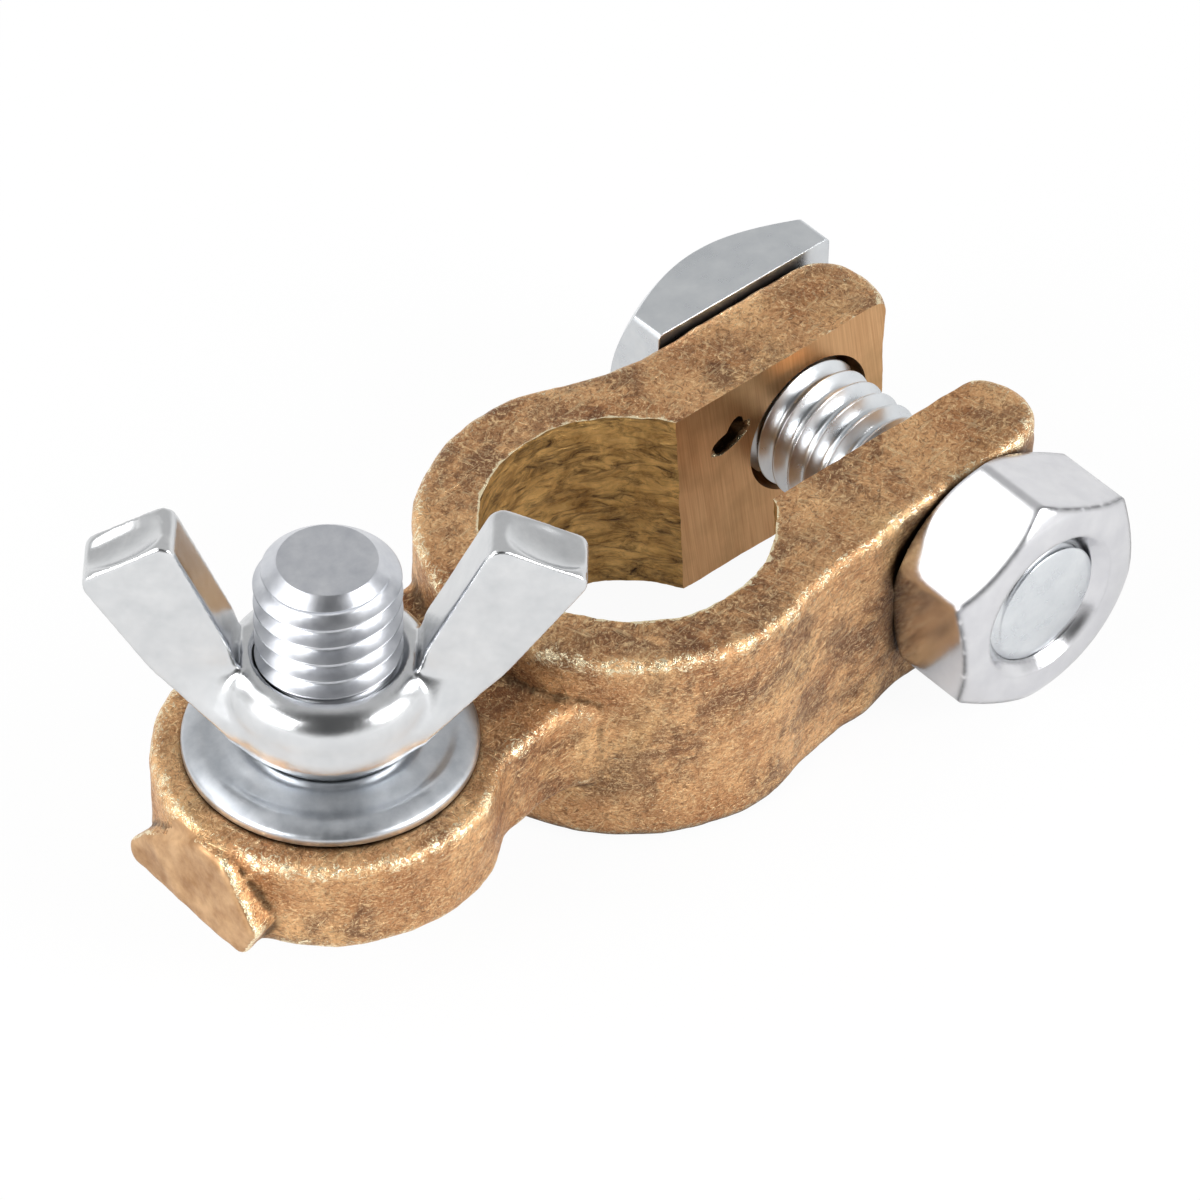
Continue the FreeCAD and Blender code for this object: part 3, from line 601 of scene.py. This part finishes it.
def zinc(name, colour, shade, roughness, grain, depth, edge, edge_reflection=0.0):
    """Zinc plate on steel, of two tones, with painted shade in crevices. Grain, depth and edge are mm; the
    last value is the share of a painted dark reflection along rounded edges.
    """
    material, tree, shader, place = new_material(name)
    rounded = add(tree, "Bevel", Radius=edge * MM)
    rounded.samples = 6
    haze = spots(tree, place, grain, 4.0, 0.6)
    pits = spots(tree, place, 0.25, 2.0)
    tone = mix(tree, ramp(tree, haze, 0.25, 0.75), shade, colour)
    # Painted shade: the tone darkens towards a dull grey in crevices found by ambient occlusion, such as
    # thread valleys.
    tone = mix(tree, painted_crevice_shade(tree, 0.4, 0.1, 0.6), "#9A9C9F", tone)
    # Painted reflection: a dark line along rounded edges whose normals lean toward the front, broken up by
    # noise.
    if edge_reflection:
        surface = add(tree, "NewGeometry").outputs["Normal"]
        likeness = add(tree, "VectorMath", {0: rounded.outputs[0], 1: surface}, operation="DOT_PRODUCT")
        rim = ramp(tree, likeness.outputs["Value"], 0.985, 0.94)
        facing = add(tree, "SeparateXYZ", {0: rounded.outputs[0]}).outputs[1]
        leaning_front = calc(tree, "MULTIPLY", ramp(tree, facing, -0.1, -0.3), ramp(tree, facing, -0.88, -0.78))
        broken_up = ramp(tree, spots(tree, place, 0.5, 3.0), 0.30, 0.48)
        rim = calc(tree, "MULTIPLY", calc(tree, "MULTIPLY", rim, leaning_front), broken_up)
        tone = cover(tree, tone, rim, edge_reflection, "#2E2F32")
    tree.links.new(tone, shader.inputs["Base Color"])
    shader.inputs["Metallic"].default_value = 1.0
    gloss = calc(tree, "ADD", roughness, calc(tree, "MULTIPLY", haze, roughness * 0.6))
    tree.links.new(gloss, shader.inputs["Roughness"])
    relief = calc(tree, "ADD", haze, calc(tree, "MULTIPLY", pits, 0.12))
    bump = add(tree, "Bump", {"Height": relief, "Normal": rounded.outputs[0]},
               Strength=0.5, Distance=depth * MM)
    tree.links.new(bump.outputs["Normal"], shader.inputs["Normal"])
    return material


def plate(piece, *zinc_values):
    """Gives a piece one zinc plate in place of the slots left by its modifiers."""
    piece.data.materials.clear()
    piece.data.materials.append(zinc(*zinc_values))


# Clear zinc on rolled steel: grey-white, softly glossy.
plate(stud, "clear_zinc_on_rolled_steel", "#DCDEE2", "#C2C5CC", 0.24, 1.2, 0.02, 0.08)
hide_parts("terminal_stud")
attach(stud, "clamp")

# Washer: stamped from sheet steel and dished in the same stroke, so its rims are rolled
# over. It carries satin zinc.
WASHER_FOOT = 10.55
WASHER_PROFILE = [
    (4.3, 0.55), (5.2, 0.5), (5.9, 0.25), (6.7, 0.03), (7.5, 0.0), (7.88, 0.03), (8.03, 0.12),
    (8.05, 0.3), (8.04, 0.52), (7.98, 0.64), (7.85, 0.74), (7.6, 0.88), (7.3, 1.02),
    (7.05, 1.10), (6.85, 1.13), (6.65, 1.12), (6.4, 1.15), (5.9, 1.32), (5.5, 1.50), (5.2, 1.6),
    (4.45, 1.6), (4.33, 1.56), (4.3, 1.45),
]
bm = bmesh.new()
points = [bm.verts.new((radius, 0, height)) for radius, height in WASHER_PROFILE]
lines = [bm.edges.new(pair) for pair in zip(points, points[1:] + points[:1])]
bmesh.ops.spin(bm, geom=points + lines, axis=(0, 0, 1), cent=(0, 0, 0), dvec=(0, 0, 0),
               angle=math.tau, steps=160, use_merge=True, use_duplicate=False)
bmesh.ops.translate(bm, verts=bm.verts, vec=(*LUG_CENTRE, WASHER_FOOT))
washer = smooth(solid(bm, "dished_washer"), 40)
to_metres(washer)
# Satin zinc on sheet steel: blue-grey, with a soft sheen.
plate(washer, "satin_zinc_on_sheet_steel", "#CED1D5", "#B4B9BF", 0.27, 0.9, 0.012, 0.1)
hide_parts("washer")
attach(washer, "washer")

# Wing nut: hot forged in one heat, so its wings run into the hub in broad hollows and their
# ends are slightly cupped. Bright zinc. Its tapped thread is a little wider than the stud's
# and starts where the two mesh.
NUT_FOOT = 12.2
NUT_THREAD = 4.05
THREAD_ROOT = 3.4
WING_THREAD_START = -1.136
HUB_RADIUS, HUB_FOOT_RADIUS, HUB_FOOT_HEIGHT = 5.85, 4.75, 1.5
WING_UNDER = [(3.0, 1.25), (5.3, 1.25), (8.7, 3.8)]
WING_OVER = [(5.1, 6.7), (4.7, 5.2), (4.3, 3.75)]
RIGHT_WING = WING_UNDER + [(14.1, 11.5), (8.75, 14.27)] + WING_OVER
LEFT_WING = WING_UNDER + [(13.2, 11.4), (8.25, 14.27)] + WING_OVER
RIGHT_WING_LEAN, LEAN_FROM = 0.08, 6.0
WING_HALF, BAND_RADIUS, WING_REACH = 1.7, 5.9, 14.5
WING_HOLLOW = [(4.24, 4.10), (6.65, 1.7), (9.6, 1.7)]
WING_TURN = -42
PLAN_RISES, HUB_TOP = (3.6, 2.6, 12.0), 5
TIP_ROUNDING, ROOT_ROUNDING = 0.9, 2.0
FORGED_GRAIN, FORGED_PASSES = 0.13, 30
CUP_SIZE, CUP_TILT = (2.75, 1.5, 0.4), 30
CUP_PLACES = [(1, (11.42, 0, 12.9)), (-1, (10.72, 0, 12.85))]

# The wings seen from the side, as a deep bar that the plan below then trims.
bm = bmesh.new()
right_side = [bm.verts.new((across, -8, up)) for across, up in RIGHT_WING]
left_side = [bm.verts.new((-across, -8, up)) for across, up in reversed(LEFT_WING)]
extrude(bm, bm.faces.new(right_side + left_side), (0, 16, 0))
tips = [edge for edge in bm.edges if edge.verts[0].co.z > 10 and edge.verts[1].co.z > 10]
tips = [edge for edge in tips if abs(edge.verts[0].co.y - edge.verts[1].co.y) > 1]
roots = [edge for edge in bm.edges if 3 < edge.verts[0].co.z < 4 and 3 < edge.verts[1].co.z < 4]
for edges, rounding, steps in ((tips, TIP_ROUNDING, 6), (roots, ROOT_ROUNDING, 5)):
    bmesh.ops.bevel(bm, geom=edges, offset=rounding, segments=steps, profile=0.5,
                    affect="EDGES", material=-1)
wings = solid(bm, "wings")

# The plan seen from above: two flat wings whose sides run in a hollow curve to a round middle.
# Over the hub's top it is no wider than the wings.
start, pull, end = (Vector(place) for place in WING_HOLLOW)
plan = [Vector((WING_REACH, WING_HALF))]
for step in range(9):
    share = 1 - step / 8
    plan.append((1 - share) ** 2 * start + 2 * share * (1 - share) * pull + share ** 2 * end)
plan += arc(Vector((0, 0)), BAND_RADIUS, 48, 90, 8)
plan = plan + [Vector((-place.x, place.y)) for place in reversed(plan[:-1])]
bm = bmesh.new()
points = [bm.verts.new((place.x, place.y, -1)) for place in plan]
points += [bm.verts.new((place.x, -place.y, -1)) for place in reversed(plan)]
bottom = bm.faces.new(points)
section = bottom
for rise in PLAN_RISES:
    below = section
    section = extrude(bm, below, (0, 0, rise))
    if below is not bottom and below.is_valid:
        bm.faces.remove(below)
    if section.verts[0].co.z > HUB_TOP:
        for point in section.verts:
            point.co.y = max(-WING_HALF, min(WING_HALF, point.co.y))
combine(wings, "INTERSECT", solid(bm, "plan"))

hub = solid(spun([
    (0, 1.2), (HUB_FOOT_RADIUS, 1.2), (HUB_RADIUS - 0.2, 1.35), (HUB_RADIUS, HUB_FOOT_HEIGHT + 0.1),
    (HUB_RADIUS, 3.65), (HUB_RADIUS - 0.04, 4.0), (HUB_RADIUS - 0.2, 4.45), (HUB_RADIUS - 0.5, 4.86),
    (HUB_RADIUS - 0.9, 5.17), (HUB_RADIUS - 1.35, 5.36), (HUB_RADIUS - 1.8, 5.43), (0, 5.43),
]), "hub")
combine(wings, "UNION", hub)
tilt = Matrix.Rotation(math.radians(CUP_TILT), 3, "Y")
for mirror, tip_middle in CUP_PLACES:
    bm = bmesh.new()
    bmesh.ops.create_icosphere(bm, subdivisions=4, radius=1.0)
    bmesh.ops.scale(bm, verts=bm.verts, vec=CUP_SIZE)
    bmesh.ops.rotate(bm, verts=bm.verts, matrix=tilt)
    bmesh.ops.translate(bm, verts=bm.verts, vec=tip_middle)
    bmesh.ops.scale(bm, verts=bm.verts, vec=(mirror, 1, 1))
    combine(wings, "DIFFERENCE", solid(bm, "cup"))
melt(wings, FORGED_GRAIN, FORGED_PASSES)
for point in wings.data.vertices:
    point.co.y += RIGHT_WING_LEAN * max(0.0, point.co.x - LEAN_FROM)
foot = solid(spun([
    (0, 0), (HUB_FOOT_RADIUS - 0.1, 0), (HUB_FOOT_RADIUS, 0.1), (HUB_FOOT_RADIUS, 1.9), (0, 1.9),
]), "foot")
combine(wings, "UNION", foot)
mouth = solid(spun([(0, 4.5), (THREAD_ROOT, 4.5), (4.4, 5.5), (4.4, 7), (0, 7)]), "mouth")
combine(wings, "DIFFERENCE", thread(NUT_THREAD, WING_THREAD_START, 7), mouth)
wings.name = "forged_wing_nut"
turned = Matrix.Rotation(math.radians(WING_TURN), 4, "Z")
wings.data.transform(Matrix.Translation((*LUG_CENTRE, NUT_FOOT)) @ turned)
smooth(wings, 70)
to_metres(wings)
# Bright zinc on forged steel: near mirror, over the forging's gentle unevenness.
plate(wings, "bright_zinc_on_forging", "#DCDDDE", "#CACCCE", 0.16, 1.6, 0.035, 0.1)
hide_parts("wing_nut")
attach(wings, "wing_nut")

# Clamping bolt: M8 by 25, cold-headed square, its head's corners turned down to a cone, and
# its thread rolled. Bluish clear zinc.
HEAD_HALF, HEAD_HEIGHT, HEAD_FACE, HEAD_SLOPE = 6.5, 4.3, 6.2, 36
HEAD_CORNER = 0.35
BOLT_RADIUS, BOLT_LENGTH = 3.98, 25.15
BOLT_FLAT, BOLT_CHAMFER = 3.1, 0.34
BOLT_SEAT = 9.7
SHANK_OVERLAP = 0.5


def on_bolt_line(piece, across, turn):
    """Lays a piece that was made upright onto the bolt's line."""
    place = Matrix.Translation((BOLT_LINE.x, across, BOLT_LINE.y))
    piece.data.transform(place @ Matrix.Rotation(math.radians(turn), 4, "X"))


def round_uprights(bm, width):
    """Rounds the edges of a prism that run along Z."""
    uprights = [edge for edge in bm.edges if abs(edge.verts[0].co.z - edge.verts[1].co.z) > 1]
    bmesh.ops.bevel(bm, geom=uprights, offset=width, segments=4, profile=0.5,
                    affect="EDGES", material=-1)
    return bm


def turned_face(face, slope, reach, height):
    """The profile of an end face turned to a cone, its rim a little rounded, on to the axis."""
    fall = math.tan(math.radians(slope))
    return [
        (reach, height - (reach - face) * fall), (face + 0.45, height - 0.45 * fall),
        (face + 0.2, height - 0.2 * fall - 0.02), (face - 0.02, height - 0.055), (face - 0.25, height),
        (0, height),
    ]


block = box((-HEAD_HALF, -HEAD_HALF, 0), (HEAD_HALF, HEAD_HALF, HEAD_HEIGHT))
head = solid(round_uprights(block, HEAD_CORNER), "square_head_bolt")
reach = HEAD_HALF * 1.6
cone = solid(spun([(0, -1), (reach, -1)] + turned_face(HEAD_FACE, HEAD_SLOPE, reach, HEAD_HEIGHT)), "cone")
combine(head, "INTERSECT", cone)
shank = threaded(BOLT_RADIUS, 0, BOLT_LENGTH + SHANK_OVERLAP, BOLT_FLAT, BOLT_CHAMFER)
turned = Matrix.Rotation(math.pi, 4, "X")
shank.data.transform(turned @ Matrix.Translation((0, 0, -SHANK_OVERLAP)))
combine(head, "UNION", shank)
on_bolt_line(head, BOLT_SEAT, -90)
smooth(head, 30)
to_metres(head)
plate(head, "blue_zinc_on_headed_steel", "#DFE2E4", "#CDD1D5", 0.22, 1.6, 0.02, 0.12)
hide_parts("clamp_bolt")
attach(head, "bolt")

# Hexagon nut: M8, cold formed, both faces turned to a cone, its thread countersunk and started
# where it meshes with the bolt's. Bright zinc with a painted dark reflection along its rounded
# edges where they lean toward the front, and no marks.
NUT_HALF, NUT_HEIGHT, NUT_FACE, NUT_SLOPE, NUT_TURN = 6.375, 6.1, 6.2, 34, 4
NUT_THREAD_START = -1.15
NUT_CORNER = 0.3
INNER_MOUTH, OUTER_MOUTH = (4.5, 1.1), (4.6, 1.2)
bm = bmesh.new()
corner = NUT_HALF / math.cos(math.pi / 6)
turned = Matrix.Rotation(math.radians(NUT_TURN), 4, "Z")
bmesh.ops.create_cone(bm, cap_ends=True, segments=6, radius1=corner, radius2=corner,
                      depth=NUT_HEIGHT, matrix=Matrix.Translation((0, 0, NUT_HEIGHT / 2)) @ turned)
nut = solid(round_uprights(bm, NUT_CORNER), "hexagon_nut")
reach = NUT_HALF * 1.4
outer_end = turned_face(NUT_FACE, NUT_SLOPE, reach, NUT_HEIGHT)
inner_end = [(radius, NUT_HEIGHT - height) for radius, height in reversed(outer_end)]
combine(nut, "INTERSECT", solid(spun(inner_end + outer_end), "cone"))
width, depth = INNER_MOUTH
inner_mouth = solid(spun([
    (0, -1), (width, -1), (width, 0), (THREAD_ROOT, depth), (0, depth),
]), "inner_mouth")
width, depth = OUTER_MOUTH
outer_mouth = solid(spun([
    (0, NUT_HEIGHT - depth), (THREAD_ROOT, NUT_HEIGHT - depth), (width, NUT_HEIGHT),
    (width, 8), (0, 8),
]), "outer_mouth")
coil = thread(NUT_THREAD, NUT_THREAD_START, NUT_HEIGHT + 1)
combine(nut, "DIFFERENCE", coil, inner_mouth, outer_mouth)
on_bolt_line(nut, -BOLT_SEAT, 90)
smooth(nut, 30)
to_metres(nut)
# The last value is the share of the painted dark reflection along the nut's rounded edges.
plate(nut, "bright_zinc_on_nut", "#DEDEE0", "#CFCFD3", 0.13, 1.8, 0.02, 0.6, 0.85)
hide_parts("hex_nut")
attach(nut, "nut")

# Floor and light: a white sweep under soft lamps. The room is darker on one side, which gives
# bright metal something to reflect. The floor looks white but mirrors as a grey. Here lengths
# are in metres, but for the camera's aim and lens.
FLOOR_HALF = 0.6
FLOOR_SHOWN, FLOOR_MIRRORED = 0.95, 0.38
DARK_SIDE = (-0.482, -0.535, 0.694)
DARK_SHARE = 0.85
GLOW_LOW, GLOW_FALL = 1.05, 0.43
bm = bmesh.new()
bmesh.ops.create_grid(bm, x_segments=1, y_segments=1, size=FLOOR_HALF)
bmesh.ops.translate(bm, verts=bm.verts, vec=(0, 0, frame_box[0][2]))
floor = solid(bm, "floor")
white_floor, tree, shader, place = new_material("white_sweep")
shader.inputs["Base Color"].default_value = linear("#EDEDED")
shader.inputs["Roughness"].default_value = 0.9
path = add(tree, "LightPath").outputs
mirrored = calc(tree, "MAXIMUM", path["Is Glossy Ray"], path["Is Transmission Ray"])
plain = calc(tree, "MULTIPLY", path["Is Camera Ray"], FLOOR_SHOWN)
shown = calc(tree, "MAXIMUM", plain, calc(tree, "MULTIPLY", mirrored, FLOOR_MIRRORED))
seen = add(tree, "MixShader", {0: shown, 1: shader.outputs[0]})
tree.links.new(add(tree, "Emission").outputs[0], seen.inputs[2])
tree.links.new(seen.outputs[0], tree.nodes["Material Output"].inputs["Surface"])
floor.data.materials.append(white_floor)

CAMERA_AIM = Vector((3.94, 6.53, 0.0)) * MM
CAMERA_TURN, CAMERA_RISE, CAMERA_ROLL = -41.99, 43.94, 1.01
CAMERA_DISTANCE = 0.430
CAMERA_LENS = 227.1
turn, rise, roll = (math.radians(angle) for angle in (CAMERA_TURN, CAMERA_RISE, CAMERA_ROLL))
back = Vector((math.sin(turn) * math.cos(rise), -math.cos(turn) * math.cos(rise), math.sin(rise)))
level = Vector((math.cos(turn), math.sin(turn), 0))
plumb = back.cross(level)
right = math.cos(roll) * level + math.sin(roll) * plumb
up = math.cos(roll) * plumb - math.sin(roll) * level
lens = bpy.data.cameras.new("camera")
lens.lens = CAMERA_LENS
lens.sensor_width = 36.0
lens.sensor_fit = "HORIZONTAL"
lens.clip_start = 0.01
camera = bpy.data.objects.new("camera", lens)
axes = Matrix((right, up, back)).transposed().to_4x4()
camera.matrix_world = Matrix.Translation(CAMERA_AIM + back * CAMERA_DISTANCE) @ axes
bpy.context.collection.objects.link(camera)
bpy.context.scene.camera = camera


def lamp(name, place, size, power):
    """A soft square lamp that looks at the object."""
    light = bpy.data.lights.new(name, "AREA")
    light.size = size
    light.energy = power
    holder = bpy.data.objects.new(name, light)
    place = Vector(place)
    facing = place.to_track_quat("Z", "Y").to_matrix().to_4x4()
    holder.matrix_world = Matrix.Translation(place) @ facing
    bpy.context.collection.objects.link(holder)


lamp("left_lamp", (-0.52, 0.06, 0.26), 0.34, 3.0)
lamp("back_lamp", (-0.26, 0.30, 0.40), 0.22, 0.35)
lamp("right_lamp", (0.22, -0.50, 0.30), 0.30, 3.0)

world = bpy.data.worlds.new("studio")
world.use_nodes = True
tree = world.node_tree
sky = tree.nodes["Background"]
sky.inputs["Color"].default_value = (1, 1, 1, 1)
sight = add(tree, "TexCoord").outputs["Generated"]
height = add(tree, "SeparateXYZ", {0: sight}).outputs[2]
toward = add(tree, "VectorMath", {0: sight}, operation="DOT_PRODUCT")
toward.inputs[1].default_value = DARK_SIDE
fall = calc(tree, "MULTIPLY", ramp(tree, height, 0.05, 0.45), GLOW_FALL)
glow = calc(tree, "SUBTRACT", GLOW_LOW, fall)
room = calc(tree, "MULTIPLY", ramp(tree, toward.outputs["Value"], 0.66, 0.88), DARK_SHARE)
glow = calc(tree, "MULTIPLY", glow, calc(tree, "SUBTRACT", 1.0, room))
strength = calc(tree, "MAXIMUM", add(tree, "LightPath").outputs["Is Camera Ray"], glow)
tree.links.new(strength, sky.inputs["Strength"])
bpy.context.scene.world = world
bpy.context.scene.view_settings.view_transform = "Standard"
